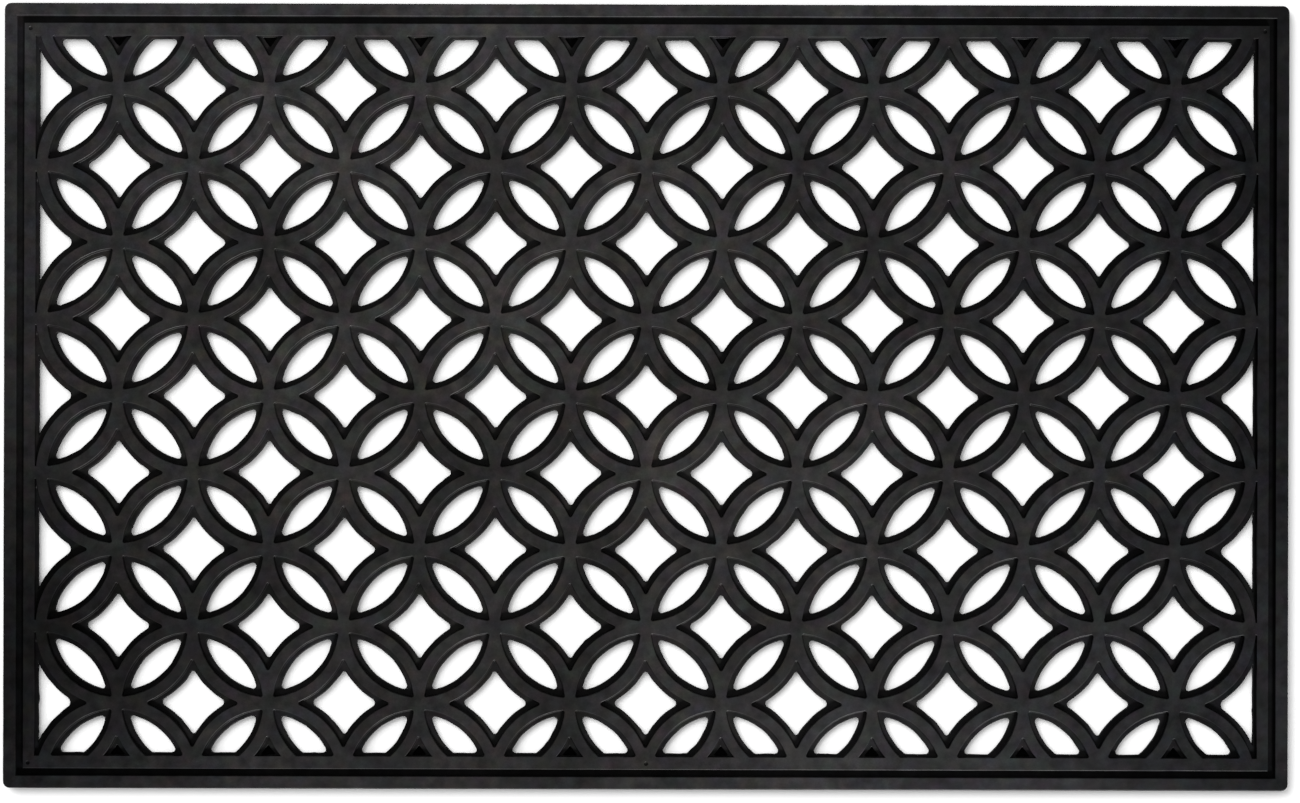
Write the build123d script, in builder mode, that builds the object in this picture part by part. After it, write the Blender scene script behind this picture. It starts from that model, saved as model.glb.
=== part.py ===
from build123d import *
import os
from typing import NamedTuple

# Openwork rubber door mat: interlaced rings inside a grooved rim, moulded in one piece.
# Millimetres. The origin is the centre of the underside, +X runs along the length and +Z is up.
# Every node is a feature of the one moulding and meets its neighbours face to face.

# Outside of the mat
LENGTH = 750.0
WIDTH = 458.5
THICKNESS = 8.0
CORNER_RADIUS = 4.0

# The web is the sheet that everything stands on. The ribs and the rim's two bands rise above it.
WEB_THICKNESS = 4.2

# Rim profile from the outside in: a band, a groove down to the web, a band and a ledge of web
OUTER_BAND = 7.8
GROOVE = 3.8
INNER_BAND_AT_ENDS = 6.85
INNER_BAND_AT_SIDES = 7.6
LEDGE_AT_ENDS = 1.6
LEDGE_AT_SIDES = 1.5

# Ring pattern: a ring is centred on every second point of the pitch grid, as on a chessboard
PITCH_X = 44.06
PITCH_Y = 44.8
RING_RADIUS = 44.4
COLUMNS = 16
ROWS = 10
RIB_HALF_WIDTH = 3.2
WEB_HALF_WIDTH = 6.3
WEB_CORNER_RADIUS = 1.9

# The web is this much wider on the bars that bound the half stars at the mat's ends
WIDER_AT_ENDS = 0.5

# The mould leaves an opening of the web closed where it would be smaller than this, in mm2
SMALLEST_OPENING = 60.0

# The tips of stars that are closed so have a three-cornered recess in their floor, against the rim
RECESS_WIDTH = 9.0
RECESS_LENGTH = 6.0
RECESS_FLOOR = 1.0

# Sizes worked out from those above
GROOVE_LENGTH = LENGTH - 2 * OUTER_BAND
GROOVE_WIDTH = WIDTH - 2 * OUTER_BAND
FRAME_LENGTH = GROOVE_LENGTH - 2 * GROOVE
FRAME_WIDTH = GROOVE_WIDTH - 2 * GROOVE
WINDOW_LENGTH = FRAME_LENGTH - 2 * INNER_BAND_AT_ENDS
WINDOW_WIDTH = FRAME_WIDTH - 2 * INNER_BAND_AT_SIDES
LEDGE_LENGTH = WINDOW_LENGTH - 2 * LEDGE_AT_ENDS
LEDGE_WIDTH = WINDOW_WIDTH - 2 * LEDGE_AT_SIDES
RIB_HEIGHT = THICKNESS - WEB_THICKNESS
LAST_COLUMN = COLUMNS // 2
LAST_ROW = ROWS // 2

os.makedirs("parts", exist_ok=True)


def save(part, label):
    """Name a finished feature and write it as a STEP file."""
    part.label = label
    export_step(part, f"parts/{label}.step")


# ---- rim ----
# outer band, with its four rounded corners
with BuildPart() as outer_rim:
    with BuildSketch():
        RectangleRounded(LENGTH, WIDTH, CORNER_RADIUS)
        Rectangle(GROOVE_LENGTH, GROOVE_WIDTH, mode=Mode.SUBTRACT)
    extrude(amount=THICKNESS)
save(outer_rim.part, "outer_rim")

# floor of the groove between the two bands
with BuildPart() as groove_floor:
    with BuildSketch():
        Rectangle(GROOVE_LENGTH, GROOVE_WIDTH)
        Rectangle(FRAME_LENGTH, FRAME_WIDTH, mode=Mode.SUBTRACT)
    extrude(amount=WEB_THICKNESS)
save(groove_floor.part, "groove_floor")

# inner band, with the ledge of web that shows round the pattern
with BuildPart() as inner_rim:
    with BuildSketch():
        Rectangle(FRAME_LENGTH, FRAME_WIDTH)
        Rectangle(LEDGE_LENGTH, LEDGE_WIDTH, mode=Mode.SUBTRACT)
    extrude(amount=WEB_THICKNESS)
    with BuildSketch(Plane.XY.offset(WEB_THICKNESS)):
        Rectangle(FRAME_LENGTH, FRAME_WIDTH)
        Rectangle(WINDOW_LENGTH, WINDOW_WIDTH, mode=Mode.SUBTRACT)
    extrude(amount=RIB_HEIGHT)
save(inner_rim.part, "inner_rim")


# ---- lattice ----
class Storey(NamedTuple):
    """One of the lattice's two storeys: the web at the bottom and the ribs on it."""

    base: float
    height: float
    half_width: float
    wider_at_ends: float
    corner_radius: float
    window: tuple


WEB = Storey(0.0, WEB_THICKNESS, WEB_HALF_WIDTH, WIDER_AT_ENDS, WEB_CORNER_RADIUS, (LEDGE_LENGTH, LEDGE_WIDTH))
RIBS = Storey(WEB_THICKNESS, RIB_HEIGHT, RIB_HALF_WIDTH, 0.0, 0.0, (WINDOW_LENGTH, WINDOW_WIDTH))


def is_ring(i, j):
    """Is there a ring centred on this point of the pitch grid?"""
    return (i + j) % 2 == 0 and abs(i) <= LAST_COLUMN and abs(j) <= LAST_ROW


def point(i, j):
    """Place of a point of the pitch grid."""
    return (i * PITCH_X, j * PITCH_Y)


def finished_opening(opening, storey):
    """The opening with its corners rounded, in a list, or no opening where it would be too small.
    Corners against the rim at the mat's ends stay sharp."""
    if opening.area < SMALLEST_OPENING:
        return []
    if storey.corner_radius == 0:
        return [opening]
    with BuildSketch(mode=Mode.PRIVATE) as rounded:
        add(opening)
        corners = [corner for corner in rounded.vertices() if abs(corner.X) < storey.window[0] / 2 - 1.0]
        fillet(corners, storey.corner_radius)
    return [rounded.sketch]


def ring_middle(i, j, storey):
    """Space inside a ring that no neighbour crosses: a star, or the part of one that the rim leaves."""
    with BuildSketch(mode=Mode.PRIVATE) as middle:
        with Locations(point(i, j)):
            Circle(RING_RADIUS - storey.half_width)
        neighbours = [(i + across, j + up) for across in (-1, 1) for up in (-1, 1)]
        wider = storey.wider_at_ends if abs(i) == LAST_COLUMN else 0.0
        with Locations([point(*centre) for centre in neighbours if is_ring(*centre)]):
            Circle(RING_RADIUS + storey.half_width + wider, mode=Mode.SUBTRACT)
        Rectangle(*storey.window, mode=Mode.INTERSECT)
    return finished_opening(middle.sketch, storey)


def ring_overlap(i, j, storey):
    """Lens inside both of the rings that cross in the cell whose lower left point is i, j."""
    first, second = ((i, j), (i + 1, j + 1)) if is_ring(i, j) else ((i + 1, j), (i, j + 1))
    with BuildSketch(mode=Mode.PRIVATE) as overlap:
        with Locations(point(*first)):
            Circle(RING_RADIUS - storey.half_width)
        with Locations(point(*second)):
            Circle(RING_RADIUS - storey.half_width, mode=Mode.INTERSECT)
        Rectangle(*storey.window, mode=Mode.INTERSECT)
    return finished_opening(overlap.sketch, storey)


def middles_on_line(j, storey):
    """The open middles of all the rings centred on one grid line."""
    rings = [i for i in range(-LAST_COLUMN, LAST_COLUMN + 1) if is_ring(i, j)]
    return [opening for i in rings for opening in ring_middle(i, j, storey)]


def overlaps_in_row(j, storey):
    """The lenses of the row of cells that stands on grid line j."""
    cells = range(-LAST_COLUMN, LAST_COLUMN)
    return [opening for i in cells for opening in ring_overlap(i, j, storey)]


def row_strip(j, window):
    """Rectangle that the row of cells on grid line j fills, cut off at the window."""
    low = max(j * PITCH_Y, -window[1] / 2)
    high = min((j + 1) * PITCH_Y, window[1] / 2)
    with Locations((0, (low + high) / 2)):
        Rectangle(window[0], high - low)


def recesses(j):
    """The recesses in the closed tips of the stars centred on one of the outermost grid lines."""
    side = 1 if j > 0 else -1
    columns = [i for i in range(1 - LAST_COLUMN, LAST_COLUMN) if is_ring(i, j)]
    corners = [(-RECESS_WIDTH / 2, 0), (RECESS_WIDTH / 2, 0), (0, -side * RECESS_LENGTH)]
    with Locations([(i * PITCH_X, side * WINDOW_WIDTH / 2) for i in columns]):
        Polygon(*corners, align=None)


grid_lines = range(-LAST_ROW, LAST_ROW + 1)
middles = {(storey, j): middles_on_line(j, storey) for storey in (WEB, RIBS) for j in grid_lines}

for row, line in enumerate(grid_lines[:-1], start=1):
    with BuildPart() as lattice_row:
        for storey in (WEB, RIBS):
            with BuildSketch(Plane.XY.offset(storey.base)):
                row_strip(line, storey.window)
                add(middles[storey, line], mode=Mode.SUBTRACT)
                add(middles[storey, line + 1], mode=Mode.SUBTRACT)
                add(overlaps_in_row(line, storey), mode=Mode.SUBTRACT)
            extrude(amount=storey.height)
        for outermost in {line, line + 1} & {-LAST_ROW, LAST_ROW}:
            with BuildSketch(Plane.XY.offset(RECESS_FLOOR)):
                recesses(outermost)
            extrude(amount=WEB_THICKNESS - RECESS_FLOOR, mode=Mode.SUBTRACT)
        # one solid for each cell: the two ribs that curve round its lens
        for i in range(1 - LAST_COLUMN, LAST_COLUMN):
            split(bisect_by=Plane.YZ.offset(i * PITCH_X), keep=Keep.BOTH)
    save(lattice_row.part, f"lattice_row_{row:02d}")
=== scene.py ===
import math

import bpy
import numpy as np
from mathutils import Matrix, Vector, noise
from mathutils.geometry import delaunay_2d_cdt


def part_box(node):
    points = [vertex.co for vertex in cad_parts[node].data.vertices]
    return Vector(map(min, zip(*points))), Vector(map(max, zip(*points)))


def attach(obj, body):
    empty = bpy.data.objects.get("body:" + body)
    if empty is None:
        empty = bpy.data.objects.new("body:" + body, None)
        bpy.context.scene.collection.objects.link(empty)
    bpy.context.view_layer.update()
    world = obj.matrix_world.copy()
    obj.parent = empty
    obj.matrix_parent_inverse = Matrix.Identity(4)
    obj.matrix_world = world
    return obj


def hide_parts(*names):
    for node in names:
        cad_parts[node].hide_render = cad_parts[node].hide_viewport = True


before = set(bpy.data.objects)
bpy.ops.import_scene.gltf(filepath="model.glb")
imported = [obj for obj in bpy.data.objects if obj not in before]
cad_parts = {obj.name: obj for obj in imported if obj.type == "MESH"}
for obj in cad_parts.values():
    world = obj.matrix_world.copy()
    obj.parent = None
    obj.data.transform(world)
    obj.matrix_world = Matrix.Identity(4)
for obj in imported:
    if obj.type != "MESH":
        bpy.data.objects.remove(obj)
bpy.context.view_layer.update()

# A black rubber door mat: interlaced rings inside a grooved rim. Plans and profiles are in millimetres
# and become metres when a skin is made into a mesh. Each row of rings and each band of the rim is one
# piece, and so is the groove between the bands.
MM = 0.001
UP = (0.0, 0.0, 1.0)
DOWN = (0.0, 0.0, -1.0)


# ---- sizes ----
def size_of(node):
    """Extents of a CAD node in millimetres."""
    low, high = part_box(node)
    return [(high[k] - low[k]) / MM for k in range(3)]


LENGTH, WIDTH, THICKNESS = size_of("outer_rim")
GROOVE_LENGTH, _, WEB_TOP = size_of("groove_floor")
BAND_LENGTH, _, _ = size_of("inner_rim")
WINDOW_LENGTH, PITCH_Y, _ = size_of("lattice_row_05")
WINDOW_WIDTH = -2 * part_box("lattice_row_01")[0][1] / MM

# rings are centred on every second point of a grid, which runs from -LAST to LAST each way
LAST_COLUMN = 8
LAST_ROW = 5
PITCH_X = 44.06
RING_RADIUS = 44.4

# the rim's side wall, in pitches from the middle
RIM_LINE = WINDOW_WIDTH / 2 / PITCH_Y

# how far the groove's two sides are from the mat's outside
OUTER_BAND = (LENGTH - GROOVE_LENGTH) / 2
GROOVE_END = (LENGTH - BAND_LENGTH) / 2

# half widths of a bar, measured from the circle that it follows, how much wider its web is beside a half
# star, and the ledge of web along the rim
RIB_HALF = 3.2
WEB_HALF = 6.3
WIDER_AT_ENDS = 0.5
LEDGE_AT_ENDS = 1.6
LEDGE_AT_SIDES = 1.5

# a bar's profile: small radii, and drafts in degrees
RIB_EDGE = 0.5
RIB_FOOT = 0.4
WEB_EDGE = 0.45
UNDER_EDGE = 0.25
RIB_DRAFT = 5.0
WEB_DRAFT = 2.0

# corner radii, in plan
RIM_CORNER = 4.0
RIB_CORNER = 1.0
SMALLEST_RIB_CORNER = 0.4
WEB_CORNER = 1.9
STAR_DIFFERENCE = 0.45
END_CORNER = 3.4
END_TIP = 0.3
TIGHT_CORNER = 0.15
GUTTER_CORNER = 0.02

# A ring that touches the rim leaves a narrow gutter beside it, which runs out down its tapering wall.
# These are the half widths of a bar at which it ends, beside half stars and in the corner stars.
GUTTER_ENDS = RIB_HALF + 0.36
CORNER_GUTTER_ENDS = RIB_HALF + 1.4

# three-cornered recess in a pocket's floor
RECESS_HALF_WIDTH = 4.5
RECESS_LENGTH = 6.0
RECESS_FLOOR = 1.0
RECESS_GAP = 0.6

# where the rows of rings end, and where the seam below the first row lies, in the flat top of the inner band
ROWS_HALF_LENGTH = WINDOW_LENGTH / 2 + 1.0
ROWS_HALF_WIDTH = WINDOW_WIDTH / 2 + 1.6
LOWEST_SEAM = -(WINDOW_WIDTH / 2 + 0.8)

# numbers of steps along curves
CURVE_STEPS = 9
FINE_STEPS = 28
CORNER_STEPS = 4
SEAM_STEPS = 24
SIDE_STEPS = 90
END_STEPS = 54
VENT_STEPS = 20


# ---- skins: closed surfaces put together from loops of points ----
class Skin:
    """Points, faces and the normal at every corner of every face."""

    def __init__(self):
        self.points = []
        self.point_normals = []
        self.faces = []
        self.corner_normals = []

    def loop(self, plan, heights, normals):
        """Adds a closed loop of points and returns their numbers."""
        first = len(self.points)
        for (x, y), z, normal in zip(plan, heights, normals):
            self.points.append((x, y, z))
            self.point_normals.append(tuple(normal))
        return list(range(first, len(self.points)))

    def face(self, corners, normals=None):
        """Adds a face. Without normals it takes those of its points."""
        self.faces.append(corners)
        self.corner_normals.extend(normals or [self.point_normals[k] for k in corners])

    def strip(self, upper, lower):
        """Smooth quads between two loops with the same number of points."""
        for k in range(len(upper)):
            n = (k + 1) % len(upper)
            self.face((upper[k], upper[n], lower[n], lower[k]))

    def cut(self, upper, lower):
        """Flat quads that close a skin along its outer loop."""
        for k in range(len(upper)):
            n = (k + 1) % len(upper)
            along = Vector(self.points[upper[n]]) - Vector(self.points[upper[k]])
            normal = tuple(Vector((along.y, -along.x, 0)).normalized())
            self.face((upper[k], lower[k], lower[n], upper[n]), [normal] * 4)

    def fill(self, outer, holes, flat_normal=None):
        """Triangles inside the outer loop and outside the holes, facing up unless flat_normal points down."""
        loops = [outer] + holes
        numbers = [k for loop in loops for k in loop]
        plan = [Vector(self.points[k][:2]) for k in numbers]
        rings = []
        for loop in loops:
            first = sum(len(r) for r in rings)
            rings.append(list(range(first, first + len(loop))))
        _, _, faces, origins, _, owners = delaunay_2d_cdt(plan, [], rings, 1, 1e-6)
        for corners, owner in zip(faces, owners):
            if list(owner) != [0]:
                continue
            face = [numbers[origins[k][0]] for k in corners]
            (ax, ay), (bx, by), (cx, cy) = (self.points[k][:2] for k in face)
            if (bx - ax) * (cy - ay) < (by - ay) * (cx - ax):
                face.reverse()
            if flat_normal and flat_normal[2] < 0:
                face.reverse()
            self.face(tuple(face), [flat_normal] * 3 if flat_normal else None)

    def piece(self, name, material):
        """Makes the skin a Blender object."""
        mesh = bpy.data.meshes.new(name)
        mesh.from_pydata([(x * MM, y * MM, z * MM) for x, y, z in self.points], [], self.faces)
        mesh.polygons.foreach_set("use_smooth", [True] * len(self.faces))
        mesh.normals_split_custom_set(self.corner_normals)
        mesh.materials.append(material)
        piece = bpy.data.objects.new(name, mesh)
        bpy.context.scene.collection.objects.link(piece)
        return piece


# ---- plan outlines with rounded corners ----
# A curve is ("outside", x, y, r) or ("inside", x, y, r) for an opening that lies outside or inside a
# circle, or ("line", nx, ny, d) for one that lies where nx x + ny y is less than d.
def moved_in(curve, distance):
    """The curve, moved into the opening."""
    kind, a, b, c = curve
    return (kind, a, b, c + distance if kind == "outside" else c - distance)


def crossing(one, two, near):
    """The point where two curves cross, the one nearest to a given point."""
    if one[0] == "line" and two[0] == "line":
        matrix = np.array([one[1:3], two[1:3]])
        return np.linalg.solve(matrix, np.array([one[3], two[3]]))
    if one[0] == "line":
        one, two = two, one
    centre = np.array(one[1:3])
    radius = one[3]
    if two[0] == "line":
        normal = np.array(two[1:3])
        distance = two[3] - normal @ centre
    else:
        between = np.array(two[1:3]) - centre
        gap = np.linalg.norm(between)
        normal = between / gap
        distance = (gap**2 + radius**2 - two[3] ** 2) / (2 * gap)
    reach = math.sqrt(max(radius**2 - distance**2, 0.0))
    side = np.array([-normal[1], normal[0]])
    both = [centre + distance * normal + sign * reach * side for sign in (-1, 1)]
    return min(both, key=lambda point: np.linalg.norm(point - near))


def foot_on(curve, point):
    """The point of a curve that is nearest to a point."""
    place = np.array(curve[1:3])
    if curve[0] == "line":
        return point + (curve[3] - place @ point) * place
    away = (point - place) / np.linalg.norm(point - place)
    return place + curve[3] * away


def arc(centre, start, end, steps, clockwise):
    """Points from start to end about a centre."""
    first = math.atan2(*(start - centre)[::-1])
    last = math.atan2(*(end - centre)[::-1])
    turn = (last - first) % math.tau
    if clockwise:
        turn -= math.tau
    radius = np.linalg.norm(start - centre)
    angles = first + turn * np.linspace(0, 1, steps + 1)
    return centre + radius * np.column_stack([np.cos(angles), np.sin(angles)])


def outline(curves, corners, radii, steps=CURVE_STEPS):
    """Counter-clockwise points round an opening, and at each the direction into the opening.
    Corner k lies between curve k - 1 and curve k, near the place that corners gives for it, which only
    has to tell it from the curves' other crossing. Steps is a number for every curve or a list of them."""
    points = []
    inward = []
    rounds = []
    for k, curve in enumerate(curves):
        before = curves[k - 1]
        centre = crossing(moved_in(before, radii[k]), moved_in(curve, radii[k]), np.array(corners[k]))
        rounds.append((centre, foot_on(before, centre), foot_on(curve, centre)))
    for k, curve in enumerate(curves):
        centre, start, end = rounds[k]
        bend = arc(centre, start, end, CORNER_STEPS, clockwise=False)
        points.extend(bend)
        inward.extend((centre - bend) / radii[k])
        goal = rounds[(k + 1) % len(curves)][1]
        place = np.array(curve[1:3])
        count = steps[k] if isinstance(steps, list) else steps
        if curve[0] == "line":
            run = end + (goal - end) * np.linspace(0, 1, count + 1)[:, None]
            ways = np.tile(-place, (count + 1, 1))
        else:
            run = arc(place, end, goal, count, clockwise=curve[0] == "outside")
            sign = 1 if curve[0] == "outside" else -1
            ways = sign * (run - place) / curve[3]
        points.extend(run[1:-1])
        inward.extend(ways[1:-1])
    return np.array(points), np.array(inward)


# ---- openings of the lattice ----
# Each kind of opening is a function shape(half), which gives outline its curves, corners and radii where
# the bars' half width is half. The ones against the rim are made for its far side and right end.
def centre_of(i, j):
    """Place of a point of the pitch grid."""
    return np.array([i * PITCH_X, j * PITCH_Y])


def outside(i, j, half):
    """The outer side of the bar of the ring centred on i, j."""
    return ("outside", *centre_of(i, j), RING_RADIUS + half)


def inside(i, j, half):
    """The inner side of the bar of the ring centred on i, j."""
    return ("inside", *centre_of(i, j), RING_RADIUS - half)


def ledge_share(half):
    """How far out on the ledge of the web: 0 at the rib's wall and 1 at the web's edge."""
    return (half - RIB_HALF) / (WEB_HALF - RIB_HALF)


def end_line(half):
    """Side of the rim at the mat's right end. Its wall is steep at the top and its ledge is narrow."""
    return ("line", 1.0, 0.0, WINDOW_LENGTH / 2 - ledge_share(half) * LEDGE_AT_ENDS)


def side_line(half):
    """Side of the rim along the mat's far side."""
    return ("line", 0.0, 1.0, WINDOW_WIDTH / 2 - ledge_share(half) * LEDGE_AT_SIDES)


def on_web(half):
    """Is the bar as wide as this on its web, and not on its rib?"""
    return ledge_share(half) > 0.5


def corner_radius(half):
    """Radius of an opening's corners where the bars are this wide."""
    if on_web(half):
        return WEB_CORNER + WEB_HALF - half
    return max(RIB_CORNER + RIB_HALF - half, SMALLEST_RIB_CORNER)


def star(i, j):
    """The middle of a ring that four others cross. Its web is rounder at the left and right corners."""

    def shape(half):
        curves = [outside(i + a, j + b, half) for a, b in ((1, 1), (-1, 1), (-1, -1), (1, -1))]
        tips = [centre_of(i + a, j + b) for a, b in ((0.5, 0), (0, 0.5), (-0.5, 0), (0, -0.5))]
        difference = STAR_DIFFERENCE if on_web(half) else 0.0
        return curves, tips, [corner_radius(half) + sign * difference for sign in (1, -1, 1, -1)]

    return shape


def lens(one, other):
    """The overlap of two rings."""

    def shape(half):
        middle = (centre_of(*one) + centre_of(*other)) / 2
        apart = centre_of(*other) - centre_of(*one)
        tip = np.array([apart[1], -apart[0]]) / 2
        curves = [inside(*one, half), inside(*other, half)]
        return curves, [middle + tip, middle - tip], [corner_radius(half)] * 2

    return shape


def cut_lens(i):
    """A lens that the rim cuts short, between the rings centred on i, LAST_ROW - 1 and i + 1, LAST_ROW."""
    one = (i, LAST_ROW - 1)
    other = (i + 1, LAST_ROW)

    def shape(half):
        curves = [inside(*one, half), side_line(half), inside(*other, half)]
        corners = [centre_of(i + 1, LAST_ROW - 1)]
        corners += [centre_of(i + 0.6, RIM_LINE), centre_of(i + 0.1, RIM_LINE)]
        return curves, corners, [corner_radius(half)] * 3

    return shape


def recess(i, half):
    """The three-cornered recess in the floor of a pocket, against the rim's wall."""
    edge = centre_of(i, 0) + (0.0, WINDOW_WIDTH / 2)
    corners = [edge - (0.0, RECESS_LENGTH), edge + (RECESS_HALF_WIDTH, 0.0), edge - (RECESS_HALF_WIDTH, 0.0)]
    across = np.array([RECESS_LENGTH, -RECESS_HALF_WIDTH])
    across /= np.linalg.norm(across)
    other_way = across * (-1, 1)
    inset = half - WEB_HALF
    right = ("line", *across, across @ corners[0] - inset)
    base = ("line", 0.0, 1.0, edge[1] - RECESS_GAP - inset)
    left = ("line", *other_way, other_way @ corners[0] - inset)
    return [right, base, left], corners, [RIB_EDGE] * 3


def pocket(i):
    """The tip of a star that the rim leaves. Its floor has a recess."""

    def shape(half):
        if on_web(half):
            return recess(i, half)
        below = LAST_ROW - 1
        curves = [outside(i + 1, below, half), side_line(half), outside(i - 1, below, half)]
        corners = [centre_of(i, LAST_ROW - 0.6), centre_of(i + 0.2, RIM_LINE), centre_of(i - 0.2, RIM_LINE)]
        return curves, corners, [corner_radius(half), TIGHT_CORNER * 2, TIGHT_CORNER * 2]

    return shape


def end_bar(i, j, half):
    """A bar beside a half star or a corner star. Its web is wider than that of the others."""
    return outside(i, j, half + (WIDER_AT_ENDS if on_web(half) else 0.0))


def half_star(j):
    """The half of a star at the mat's right end, with the gutters between its rings and the rim."""
    i = LAST_COLUMN

    def shape(half):
        lower = end_bar(i - 1, j - 1, half)
        upper = end_bar(i - 1, j + 1, half)
        tip = centre_of(i - 0.5, j)
        if half > GUTTER_ENDS:
            radius = END_CORNER if on_web(half) else corner_radius(half)
            corners = [tip, centre_of(i + 0.1, j - 0.6), centre_of(i + 0.1, j + 0.6)]
            return [lower, end_line(half), upper], corners, [radius, END_TIP, END_TIP], FINE_STEPS
        ends = [centre_of(i + 0.05, j - 0.95), centre_of(i + 0.1, j - 0.95)]
        ends += [centre_of(i + 0.1, j + 0.95), centre_of(i + 0.05, j + 0.95)]
        curves = [lower, inside(i, j, half), end_line(half), inside(i, j, half), upper]
        return curves, [tip, *ends], [corner_radius(half)] + [GUTTER_CORNER] * 4, FINE_STEPS

    return shape


def corner_star():
    """The part of a star in the window's far right corner, with its gutters."""
    i = LAST_COLUMN
    j = LAST_ROW - 1

    def shape(half):
        lower = end_bar(i - 1, j - 1, half)
        upper = end_bar(i - 1, j + 1, half)
        tip = centre_of(i - 0.5, j)
        below = centre_of(i + 0.1, j - 0.6)
        above = [centre_of(i + 0.1, RIM_LINE), centre_of(i + 0.03, RIM_LINE)]
        if half > CORNER_GUTTER_ENDS:
            corners = [tip, below, centre_of(i + 0.1, j + 0.6)]
            return [lower, end_line(half), upper], corners, [END_CORNER, END_TIP, END_TIP], FINE_STEPS
        if half > GUTTER_ENDS:
            curves = [lower, end_line(half), side_line(half), upper]
            radii = [corner_radius(half), END_TIP, TIGHT_CORNER, TIGHT_CORNER]
            return curves, [tip, below, *above], radii, FINE_STEPS
        ends = [centre_of(i + 0.05, j - 0.95), centre_of(i + 0.1, j - 0.95)]
        curves = [lower, inside(i, j, half), end_line(half), side_line(half), upper]
        radii = [corner_radius(half), GUTTER_CORNER, GUTTER_CORNER, TIGHT_CORNER, TIGHT_CORNER]
        return curves, [tip, *ends, *above], radii, FINE_STEPS

    return shape


def is_ring(i, j):
    """Is there a ring centred on this point of the pitch grid?"""
    return (i + j) % 2 == 0 and abs(i) <= LAST_COLUMN and abs(j) <= LAST_ROW


def openings_of_row(j):
    """(shape, -1 if mirrored in x, -1 if mirrored in y, goes right through) of each opening in row j."""
    found = []
    columns = range(-LAST_COLUMN, LAST_COLUMN)
    if abs(j) < LAST_ROW:
        found += [(star(i, j), 1, 1, True) for i in range(1 - LAST_COLUMN, LAST_COLUMN) if is_ring(i, j)]
    if -LAST_ROW < j < LAST_ROW - 1:
        for i in columns:
            rings = ((i, j), (i + 1, j + 1)) if is_ring(i, j) else ((i + 1, j), (i, j + 1))
            found.append((lens(*rings), 1, 1, True))
    if j % 2 == 0:
        for side in (-1, 1):
            if abs(j) == LAST_ROW - 1:
                found.append((corner_star(), side, 1 if j > 0 else -1, True))
            else:
                found.append((half_star(j), side, 1, True))
    for far, line in ((1, LAST_ROW - 1), (-1, -LAST_ROW)):
        if j == line:
            for i in columns:
                even = i % 2 == 0
                found.append((cut_lens(i if even else -1 - i), 1 if even else -1, far, True))
            odd = [i for i in columns if i % 2]
            found += [(pocket(i), 1, far, False) for i in odd]
    return found


# ---- profile of a bar, from the top face to the underside ----
def rounded(half, height, radius, first, last, steps, hollow=False):
    """(half width, height, tilt) at points of a small round. Tilt 90 faces up and 0 faces the opening.
    half and height are those of the round's centre."""
    sign = -1 if hollow else 1
    stations = []
    for tilt in np.linspace(first, last, steps + 1):
        x = math.cos(math.radians(tilt))
        y = math.sin(math.radians(tilt))
        stations.append((half + sign * radius * x, height + sign * radius * y, tilt))
    return stations


def bar_profile():
    """Stations of a bar's side: the rib's, down to its foot, and the web's below it."""
    rib_centre = RIB_HALF - RIB_EDGE
    foot_centre = RIB_HALF + math.tan(math.radians(RIB_DRAFT)) * (THICKNESS - WEB_TOP) + RIB_FOOT
    rib = rounded(rib_centre, THICKNESS - RIB_EDGE, RIB_EDGE, 90, RIB_DRAFT, 4)
    rib += rounded(foot_centre, WEB_TOP + RIB_FOOT, RIB_FOOT, RIB_DRAFT, 90, 3, hollow=True)
    lean = math.tan(math.radians(WEB_DRAFT)) * WEB_TOP / 2
    web = rounded(WEB_HALF - WEB_EDGE - lean, WEB_TOP - WEB_EDGE, WEB_EDGE, 90, WEB_DRAFT, 4)
    web += rounded(WEB_HALF - UNDER_EDGE + lean, UNDER_EDGE, UNDER_EDGE, WEB_DRAFT, -90, 3)
    return rib + web


def pocket_profile():
    """Stations of a pocket's side, which go no lower than its recess's floor."""
    above = [station for station in bar_profile() if station[1] > RECESS_FLOOR]
    return above + [(WEB_HALF, RECESS_FLOOR, WEB_DRAFT)]


# ---- uneven moulding ----
# noise_vector takes its offsets from the clock unless it is seeded
WAVE_SEED = 1
noise.seed_set(WAVE_SEED)
WAVE_LENGTH = 7.0
RIB_WAVE = 0.08
WEB_WAVE = 0.25

# flash grows where its noise is above FLASH_FROM, on a level of the noise that waves don't use
FLASH = 0.9
FLASH_LENGTH = 4.0
FLASH_FROM = 0.35
FLASH_LEVEL = 50.0


def uneven(points, inward, half):
    """The outline with the slight waviness of pressed rubber, and with flash round the web."""
    share = min(max(ledge_share(half), 0.0), 1.0)
    size = RIB_WAVE + share * (WEB_WAVE - RIB_WAVE)
    moved = []
    for (x, y), way in zip(points, inward):
        wave = noise.noise_vector(Vector((x, y, 0.0)) / WAVE_LENGTH) * size
        excess = noise.noise(Vector((x, y, FLASH_LEVEL)) / FLASH_LENGTH) - FLASH_FROM
        flash = max(excess, 0.0) * share**4 * FLASH
        moved.append((x + wave.x + way[0] * flash, y + wave.y + way[1] * flash))
    return np.array(moved)


def tilted(inward, tilt):
    """Surface normals at an outline's points. Tilt 90 faces up, 0 faces the opening and -90 faces down."""
    level = math.cos(math.radians(tilt))
    rise = math.sin(math.radians(tilt))
    return [(level * x, level * y, rise) for x, y in inward]


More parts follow.
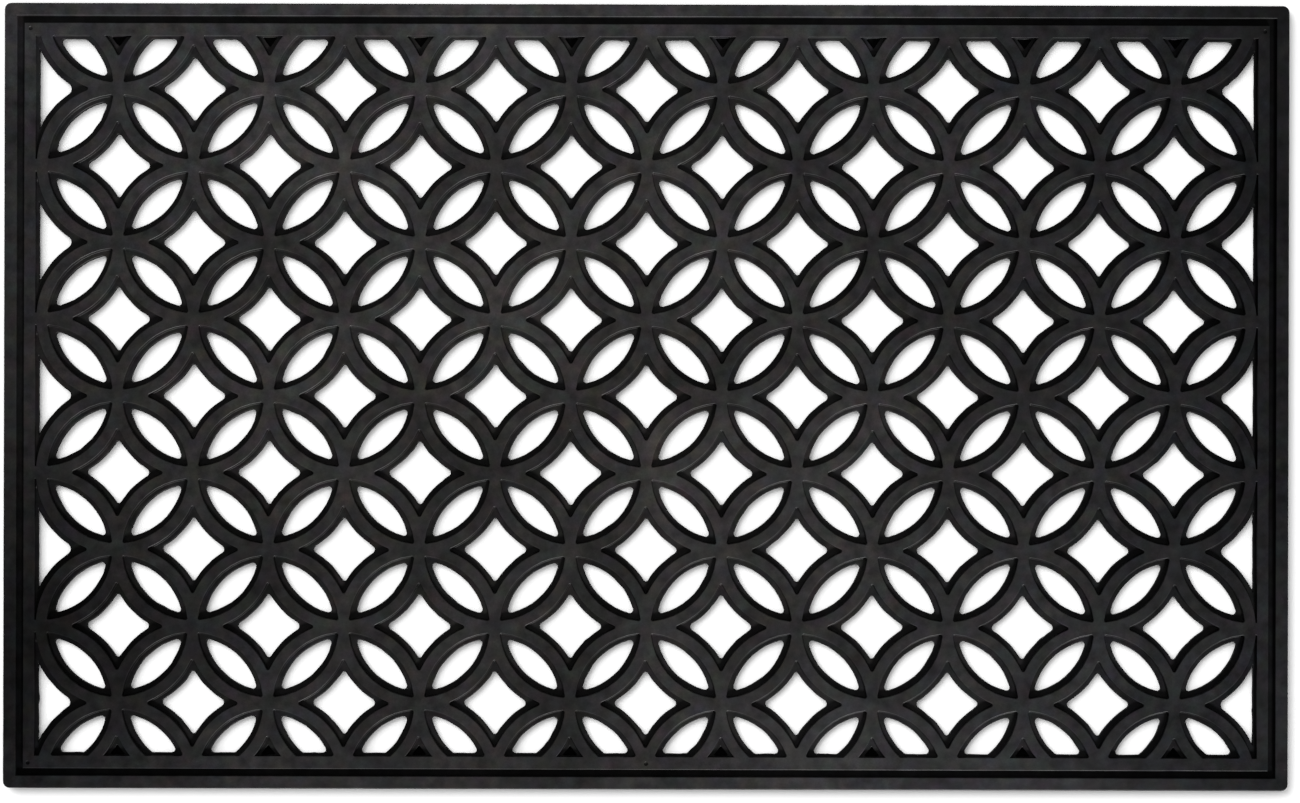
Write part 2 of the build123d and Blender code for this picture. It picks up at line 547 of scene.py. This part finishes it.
def build_opening(skin, opening):
    """Adds the walls of one opening. Returns its loop in the top face and its loop in the underside, which
    is None for a pocket."""
    shape, mirror_x, mirror_y, through = opening
    mirror = np.array([mirror_x, mirror_y])
    loops = []
    for half, height, tilt in bar_profile() if through else pocket_profile():
        points, inward = outline(*shape(half))
        points = points * mirror
        inward = inward * mirror
        if mirror_x * mirror_y < 0:
            points = points[::-1]
            inward = inward[::-1]
        plan = uneven(points, inward, half)
        loops.append(skin.loop(plan, [height] * len(plan), tilted(inward, tilt)))
    for upper, lower in zip(loops, loops[1:]):
        if len(upper) == len(lower):
            skin.strip(upper, lower)
        else:
            skin.fill(upper, [lower])
    if not through:
        skin.fill(loops[-1], [], UP)
        return loops[0], None
    return loops[0], loops[-1]


# ---- rows of rings ----
# points that are closer than this are one point
SAME_PLACE = 0.01


def seam(j):
    """Line along the tops of the rings on line j, from the left end of the rows to the right. Above the
    last row and below the first it is straight."""
    reach = ROWS_HALF_LENGTH
    if j == LAST_ROW - 1:
        return [(-reach, ROWS_HALF_WIDTH), (reach, ROWS_HALF_WIDTH)]
    if j < -LAST_ROW:
        return [(-reach, -ROWS_HALF_WIDTH), (reach, -ROWS_HALF_WIDTH)]
    line = j * PITCH_Y
    low = LOWEST_SEAM if j == -LAST_ROW else line + math.sqrt(RING_RADIUS**2 - PITCH_X**2)
    rise = math.asin((low - line) / RING_RADIUS)
    centres = [i * PITCH_X for i in range(-LAST_COLUMN, LAST_COLUMN + 1) if is_ring(i, j)]
    points = []
    for centre in centres:
        first = math.pi - rise
        last = rise
        if centre == centres[0]:
            first = math.acos(max((-reach - centre) / RING_RADIUS, -1.0))
            first = min(first, math.pi - rise) if j == -LAST_ROW else first
        if centre == centres[-1]:
            last = math.acos(min((reach - centre) / RING_RADIUS, 1.0))
            last = max(last, rise) if j == -LAST_ROW else last
        for angle in np.linspace(first, last, SEAM_STEPS + 1):
            point = (centre + RING_RADIUS * math.cos(angle), line + RING_RADIUS * math.sin(angle))
            if not points or math.dist(point, points[-1]) > SAME_PLACE:
                points.append(point)
    if points[0][0] > -reach + SAME_PLACE:
        points.insert(0, (-reach, points[0][1]))
    if points[-1][0] < reach - SAME_PLACE:
        points.append((reach, points[-1][1]))
    return points


def build_row(j, name, material):
    """The row of rings on line j, with its share of the bars round it."""
    skin = Skin()
    border = seam(j - 1) + seam(j)[::-1]
    top = skin.loop(border, [THICKNESS] * len(border), [UP] * len(border))
    under = skin.loop(border, [0.0] * len(border), [DOWN] * len(border))
    loops = [build_opening(skin, opening) for opening in openings_of_row(j)]
    skin.fill(top, [upper for upper, _ in loops], UP)
    skin.fill(under, [lower for _, lower in loops if lower], DOWN)
    skin.cut(top, under)
    return skin.piece(name, material)


# ---- rim ----
# rounded top edges of the outside and of the groove's walls, from the top downward, as (depth behind the
# wall, drop below the top, tilt)
OUTER_EDGE = [(0.95, 0.0, 90), (0.6, 0.1, 60), (0.35, 0.35, 25), (0.25, 0.7, 5)]
GROOVE_EDGE = [(0.65, 0.0, 90), (0.4, 0.07, 62), (0.2, 0.3, 32), (0.12, 0.6, 5)]

# the foot of the outside, from the underside upward, as (depth behind the wall, height, tilt)
OUTER_FOOT = [(0.5, 0.0, -90), (0.1, 0.15, -45), (0.0, 0.5, -5)]

# small bevel at the foot of the outer band's other side
BEVEL = 0.1


def frame_loop(skin, inset, height, tilt, corner, facing):
    """A loop round the mat, inset from its outside. Its normals face the middle if facing is 1 and
    outward if it is -1."""
    x = LENGTH / 2 - inset
    y = WIDTH / 2 - inset
    curves = [("line", 1.0, 0.0, x), ("line", 0.0, 1.0, y), ("line", -1.0, 0.0, x), ("line", 0.0, -1.0, y)]
    corners = [(x, -y), (x, y), (-x, y), (-x, -y)]
    steps = [END_STEPS, SIDE_STEPS, END_STEPS, SIDE_STEPS]
    points, inward = outline(curves, corners, [corner] * 4, steps)
    plan = uneven(points, inward, RIB_HALF)
    return skin.loop(plan, [height] * len(plan), tilted(facing * inward, tilt))


def build_band(name, material, stations):
    """A ring-shaped piece of the rim. Stations are (inset, height, tilt, facing) round its section."""
    skin = Skin()
    loops = []
    for inset, height, tilt, facing in stations:
        corner = max(RIM_CORNER - inset, TIGHT_CORNER)
        loops.append(frame_loop(skin, inset, height, tilt, corner, facing))
    for upper, lower in zip(loops, loops[1:] + loops[:1]):
        skin.strip(upper, lower)
    return skin.piece(name, material)


def build_outer_rim(material):
    """The outer band. Its sides lean in a little and its top edges are rounded."""
    wall = OUTER_BAND
    stations = [(depth, height, tilt, -1) for depth, height, tilt in OUTER_FOOT]
    stations += [(depth, THICKNESS - drop, tilt, -1) for depth, drop, tilt in reversed(OUTER_EDGE)]
    stations += [(wall - depth, THICKNESS - drop, tilt, 1) for depth, drop, tilt in GROOVE_EDGE]
    stations += [(wall, WEB_TOP, 5, 1), (wall, BEVEL, 5, 1), (wall - BEVEL, 0.0, -90, 1)]
    return build_band("outer_band", material, stations)


def build_groove_floor(material):
    """The floor of the groove between the bands."""
    stations = [(OUTER_BAND, WEB_TOP, 90, 1), (GROOVE_END, WEB_TOP, 90, 1)]
    stations += [(GROOVE_END, 0.0, -90, 1), (OUTER_BAND, 0.0, -90, 1)]
    return build_band("groove", material, stations)


# small pits that the mould's vents leave in the inner band
VENTS = [(-359.6, 214.1), (360.4, 213.9), (-360.2, -214.2), (0.4, -214.0)]
VENT_RADIUS = 1.1

# a pit's sides, as (share of its radius, depth, tilt)
VENT_SIDE = [(1.25, 0.0, 90), (1.0, 0.12, 45), (0.9, 1.2, 5)]


def build_vent(skin, place):
    """Adds a vent pit. Returns its loop in the top face."""
    angles = np.linspace(0, math.tau, VENT_STEPS, endpoint=False)
    ways = np.column_stack([np.cos(angles), np.sin(angles)])
    loops = []
    for share, depth, tilt in VENT_SIDE:
        plan = np.array(place) + VENT_RADIUS * share * ways
        loops.append(skin.loop(plan, [THICKNESS - depth] * VENT_STEPS, tilted(-ways, tilt)))
    for upper, lower in zip(loops, loops[1:]):
        skin.strip(upper, lower)
    skin.fill(loops[-1], [], UP)
    return loops[0]


def build_inner_rim(material):
    """The inner band, from the groove to the rows of rings, with its vent pits."""
    skin = Skin()
    wall = GROOVE_END
    stations = [(wall, 0.0, -5), (wall, WEB_TOP, 5)]
    stations += [(wall + depth, THICKNESS - drop, tilt) for depth, drop, tilt in reversed(GROOVE_EDGE)]
    loops = [frame_loop(skin, inset, height, tilt, TIGHT_CORNER, -1) for inset, height, tilt in stations]
    for lower, upper in zip(loops, loops[1:]):
        skin.strip(lower, upper)

    x = ROWS_HALF_LENGTH
    y = ROWS_HALF_WIDTH
    inner = [(-x, -y), (x, -y), (x, y), (-x, y)]
    top = skin.loop(inner, [THICKNESS] * 4, [UP] * 4)
    under = skin.loop(inner, [0.0] * 4, [DOWN] * 4)
    skin.strip(top, under)

    pits = [build_vent(skin, place) for place in VENTS]
    skin.fill(loops[-1], [top] + pits, UP)
    skin.fill(loops[0], [under], DOWN)
    return skin.piece("inner_band", material)


# ---- rubber ----
COOL_BLACK = (0.0168, 0.0168, 0.0191, 1.0)
WARM_BLACK = (0.0206, 0.0187, 0.0175, 1.0)

# pale specks painted as glints of sheen: their colour, their radius as a share of the distance between them,
# the noise above which they show and how strong they get
GLINT_SPECK = (0.10, 0.10, 0.095, 1.0)
SPECK_RADIUS = 0.055
GLINTS_FROM = 0.55
MOST_GLINT = 0.75

# how far a blotch's red, green and blue differ from the tint's, as a share of it
HUE_SPREAD = 0.7

# a darker patch: its middle and its radius, in metres, and its tone at the middle
DARK_PATCH = (-0.365, -0.125, 0.0)
DARK_PATCH_RADIUS = 0.11
DARK_PATCH_TONE = 0.5

# painted shade: the groove's floor has a darker copy of the rubber, at this tone beside that of the rest,
# which is 1
GROOVE_PAINTED_SHADE = 0.6

# painted shade in the openings, groove and recesses: the rubber's colour and sheen are at their darkest this
# far below the web's top, and at their full tone this far above it
DARK_BELOW = 0.9
PALE_ABOVE = 0.75
DARKEST_PAINTED_SHADE = 0.12

# tone and warmth over the mat, in metres from its middle: the factors of 1, x, y, xx, yy and xy
BLOOM = (1.07, -0.3, 0.6, -3.2, 2.2, -3.0)
WARMTH = (0.85, -0.8, 0.0, -4.5, -8.0, 0.0)

# nearly all of a noise's values lie between these
NOISE_LOW = 0.3
NOISE_HIGH = 0.7


def shader_node(tree, kind, **settings):
    """Adds a node and sets its properties, or its inputs where a name has no such property."""
    node = tree.nodes.new(kind)
    for name, value in settings.items():
        if hasattr(node, name):
            setattr(node, name, value)
        else:
            node.inputs[name.replace("_", " ").title()].default_value = value
    return node


def build_rubber(name, shade=1.0):
    """Matt black rubber: mottled and fine-grained, in a tone that drifts over the mat, with pale specks
    painted as glints and painted shade low down in its hollows. Shade darkens all of it, as painted shade.
    """
    material = bpy.data.materials.new(name)
    material.use_nodes = True
    tree = material.node_tree
    tree.nodes.clear()
    link = tree.links.new
    place = tree.nodes.new("ShaderNodeTexCoord").outputs["Object"]

    def joined(node, inputs):
        """Gives a node's inputs their values, each a socket to link or a number, colour or vector."""
        for socket, value in inputs:
            if isinstance(value, bpy.types.NodeSocket):
                link(value, socket)
            else:
                socket.default_value = value
        return node

    def noise_of(scale, detail, roughness=0.5):
        node = shader_node(tree, "ShaderNodeTexNoise", scale=scale, detail=detail, roughness=roughness)
        link(place, node.inputs["Vector"])
        return node

    def ranged(value, low, high, to_low, to_high):
        names = ("Value", "From Min", "From Max", "To Min", "To Max")
        node = tree.nodes.new("ShaderNodeMapRange")
        sockets = [node.inputs[socket] for socket in names]
        return joined(node, zip(sockets, (value, low, high, to_low, to_high))).outputs["Result"]

    def varied(low, high, scale, detail, roughness=0.5):
        """A noise that runs from low to high."""
        return ranged(noise_of(scale, detail, roughness).outputs["Fac"], NOISE_LOW, NOISE_HIGH, low, high)

    def math_of(operation, *values):
        node = shader_node(tree, "ShaderNodeMath", operation=operation)
        return joined(node, zip(node.inputs, values)).outputs["Value"]

    def product(first, *others):
        for other in others:
            first = math_of("MULTIPLY", first, other)
        return first

    def vector_of(operation, *values):
        node = shader_node(tree, "ShaderNodeVectorMath", operation=operation)
        return joined(node, zip(node.inputs, values)).outputs

    def mixed(factor, one, two):
        node = shader_node(tree, "ShaderNodeMix", data_type="RGBA")
        factor_input, first_colour, second_colour = node.inputs[0], node.inputs[6], node.inputs[7]
        inputs = ((factor_input, factor), (first_colour, one), (second_colour, two))
        return joined(node, inputs).outputs[2]

    def bump_of(texture, height, below=None):
        """Normals of a bumpy surface, on top of those below."""
        node = shader_node(tree, "ShaderNodeBump", distance=height, strength=0.5)
        link(texture.outputs["Fac"], node.inputs["Height"])
        if below:
            link(below, node.inputs["Normal"])
        return node.outputs["Normal"]

    def drift(middle, along, across, along_squared, across_squared, both):
        """A value that changes slowly over the mat."""
        total = math_of("ADD", product(x, along), middle)
        total = math_of("ADD", total, product(y, across))
        for one, other, factor in ((x, x, along_squared), (y, y, across_squared), (x, y, both)):
            total = math_of("ADD", total, product(one, other, factor))
        return total

    position = tree.nodes.new("ShaderNodeSeparateXYZ")
    link(place, position.inputs["Vector"])
    x, y, z = (position.outputs[axis] for axis in "XYZ")

    # tone: painted shade low down in the hollows, and darker in the dark patch
    low = ranged(z, (WEB_TOP - DARK_BELOW) * MM, (WEB_TOP + PALE_ABOVE) * MM, DARKEST_PAINTED_SHADE * shade, shade)
    from_dark_patch = vector_of("DISTANCE", place, DARK_PATCH)["Value"]
    bloom = product(drift(*BLOOM), ranged(from_dark_patch, 0.0, DARK_PATCH_RADIUS, DARK_PATCH_TONE, 1.0))
    clouds = varied(0.65, 1.45, scale=11.0, detail=2.0, roughness=0.45)
    mottle = varied(0.45, 1.55, scale=110.0, detail=3.0, roughness=0.6)
    grain = varied(0.75, 1.25, scale=1100.0, detail=2.0, roughness=0.7)
    tone = product(product(clouds, mottle), product(grain, low), bloom)

    # colour: warmer toward the middle, in blotches, with pale specks painted as glints
    warmth = math_of("ADD", drift(*WARMTH), varied(-0.3, 0.3, scale=80.0, detail=1.0))
    toned = shader_node(tree, "ShaderNodeVectorMath", operation="SCALE")
    link(mixed(warmth, COOL_BLACK, WARM_BLACK), toned.inputs["Vector"])
    link(tone, toned.inputs["Scale"])
    blotches = noise_of(scale=95.0, detail=1.0).outputs["Color"]
    hue = vector_of("MULTIPLY_ADD", blotches, (HUE_SPREAD,) * 3, (1.0 - HUE_SPREAD / 2,) * 3)["Vector"]
    blotched = vector_of("MULTIPLY", toned.outputs["Vector"], hue)["Vector"]
    # painted glints: pale specks scattered in patches
    specks = shader_node(tree, "ShaderNodeTexVoronoi", scale=140.0)
    link(place, specks.inputs["Vector"])
    glint = ranged(specks.outputs["Distance"], 0.0, SPECK_RADIUS, 1.0, 0.0)
    patches = noise_of(scale=60.0, detail=2.0).outputs["Fac"]
    patchy = ranged(patches, GLINTS_FROM, NOISE_HIGH, 0.0, MOST_GLINT)
    colour = mixed(product(glint, patchy), blotched, GLINT_SPECK)

    # sheen and surface; the sheen takes the painted shade low down too
    gloss = product(varied(0.32, 0.56, scale=13.0, detail=2.0), product(low, bloom))
    gloss = product(gloss, varied(0.75, 1.25, scale=140.0, detail=3.0, roughness=0.6))
    dents = bump_of(noise_of(scale=55.0, detail=2.0), 0.4 * MM)
    pores = bump_of(noise_of(scale=2600.0, detail=2.0, roughness=0.7), 0.04 * MM, dents)
    surface = tree.nodes.new("ShaderNodeBsdfPrincipled")
    link(colour, surface.inputs["Base Color"])
    link(gloss, surface.inputs["Specular IOR Level"])
    link(varied(0.36, 0.5, scale=30.0, detail=3.0), surface.inputs["Roughness"])
    link(pores, surface.inputs["Normal"])
    output = tree.nodes.new("ShaderNodeOutputMaterial")
    link(surface.outputs["BSDF"], output.inputs["Surface"])
    return material


# ---- studio ----
# in metres, and in degrees
FLOOR_HALF = 6.0
FLOOR_GAP = 0.0002
FLOOR_GREY = (0.9, 0.9, 0.9, 1.0)
WHITE = (1.0, 1.0, 1.0, 1.0)
SKY_STRENGTH = 0.19
BACKDROP_STRENGTH = 1.0
LAMP_DISTANCE = 3.0
CAMERA_HEIGHT = 2.2
IMAGE_SPAN = 0.7582
AIM = (0.0022, -0.00265)
ROLL = 0.15


def build_floor():
    """A plain pale floor under the mat, which throws no light on it."""
    half = FLOOR_HALF
    corners = [(-half, -half, 0), (half, -half, 0), (half, half, 0), (-half, half, 0)]
    mesh = bpy.data.meshes.new("floor")
    mesh.from_pydata(corners, [], [(0, 1, 2, 3)])
    floor = bpy.data.objects.new("floor", mesh)
    floor.location = (0, 0, -FLOOR_GAP)
    floor.visible_glossy = False
    floor.visible_diffuse = False
    bpy.context.scene.collection.objects.link(floor)
    material = bpy.data.materials.new("floor")
    material.use_nodes = True
    surface = material.node_tree.nodes["Principled BSDF"]
    surface.inputs["Base Color"].default_value = FLOOR_GREY
    surface.inputs["Roughness"].default_value = 0.9
    surface.inputs["Specular IOR Level"].default_value = 0.0
    mesh.materials.append(material)
    return floor


def build_lamp(name, towards, strength, spread, receivers):
    """A sun lamp that shines on the collection's objects, from the side that towards points to. Spread is
    how wide it looks, in degrees."""
    data = bpy.data.lights.new(name, "SUN")
    data.energy = strength
    data.angle = math.radians(spread)
    lamp = bpy.data.objects.new(name, data)
    direction = Vector(towards).normalized()
    lamp.location = direction * LAMP_DISTANCE
    lamp.rotation_euler = direction.to_track_quat("Z", "Y").to_euler()
    bpy.context.scene.collection.objects.link(lamp)
    lamp.light_linking.receiver_collection = receivers


def build_world():
    """Even dim light all round, and a white background."""
    world = bpy.data.worlds.new("studio")
    bpy.context.scene.world = world
    world.use_nodes = True
    tree = world.node_tree
    tree.nodes.clear()
    rays = tree.nodes.new("ShaderNodeLightPath")
    both = tree.nodes.new("ShaderNodeMixShader")
    output = tree.nodes.new("ShaderNodeOutputWorld")
    tree.links.new(rays.outputs["Is Camera Ray"], both.inputs[0])
    for socket, strength in zip(both.inputs[1:], (SKY_STRENGTH, BACKDROP_STRENGTH)):
        background = tree.nodes.new("ShaderNodeBackground")
        background.inputs["Color"].default_value = WHITE
        background.inputs["Strength"].default_value = strength
        tree.links.new(background.outputs["Background"], socket)
    tree.links.new(both.outputs["Shader"], output.inputs["Surface"])


def group_of(name, objects):
    """A collection that lamps can be limited to."""
    group = bpy.data.collections.new(name)
    for item in objects:
        group.objects.link(item)
    return group


def build_camera():
    """Looks straight down at the mat, a little off its middle. The picture's width shows IMAGE_SPAN of the
    mat's top."""
    data = bpy.data.cameras.new("camera")
    data.type = "PERSP"
    data.sensor_width = 36.0
    data.lens = data.sensor_width * CAMERA_HEIGHT / IMAGE_SPAN
    data.clip_end = 50.0
    camera = bpy.data.objects.new("camera", data)
    camera.location = (*AIM, CAMERA_HEIGHT + THICKNESS * MM)
    camera.rotation_euler = (0.0, 0.0, math.radians(ROLL))
    bpy.context.scene.collection.objects.link(camera)
    bpy.context.scene.camera = camera


# ---- the mat and its surroundings ----
rubber = build_rubber("rubber")
pieces = {
    "outer_rim": build_outer_rim(rubber),
    # the groove's floor gets a darker copy of the rubber, as painted shade
    "groove_floor": build_groove_floor(build_rubber("rubber_painted_shade_in_groove", GROOVE_PAINTED_SHADE)),
    "inner_rim": build_inner_rim(rubber),
}
for row, j in enumerate(range(-LAST_ROW, LAST_ROW), start=1):
    pieces[f"lattice_row_{row:02d}"] = build_row(j, f"ring_row_{row:02d}", rubber)
for node, piece in pieces.items():
    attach(piece, "root")
    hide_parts(node)

floor = build_floor()
build_camera()
build_world()
only_floor = group_of("only_floor", [floor])
only_mat = group_of("only_mat", pieces.values())
build_lamp("floor_side", (-1.0, 1.0, 1.75), 2.4, 42, only_floor)
build_lamp("floor_overhead", (0.0, 0.0, 1.0), 1.8, 105, only_floor)
build_lamp("mat_low", (0.4, -1.25, 1.0), 3.0, 14, only_mat)

bpy.context.scene.view_settings.view_transform = "Standard"
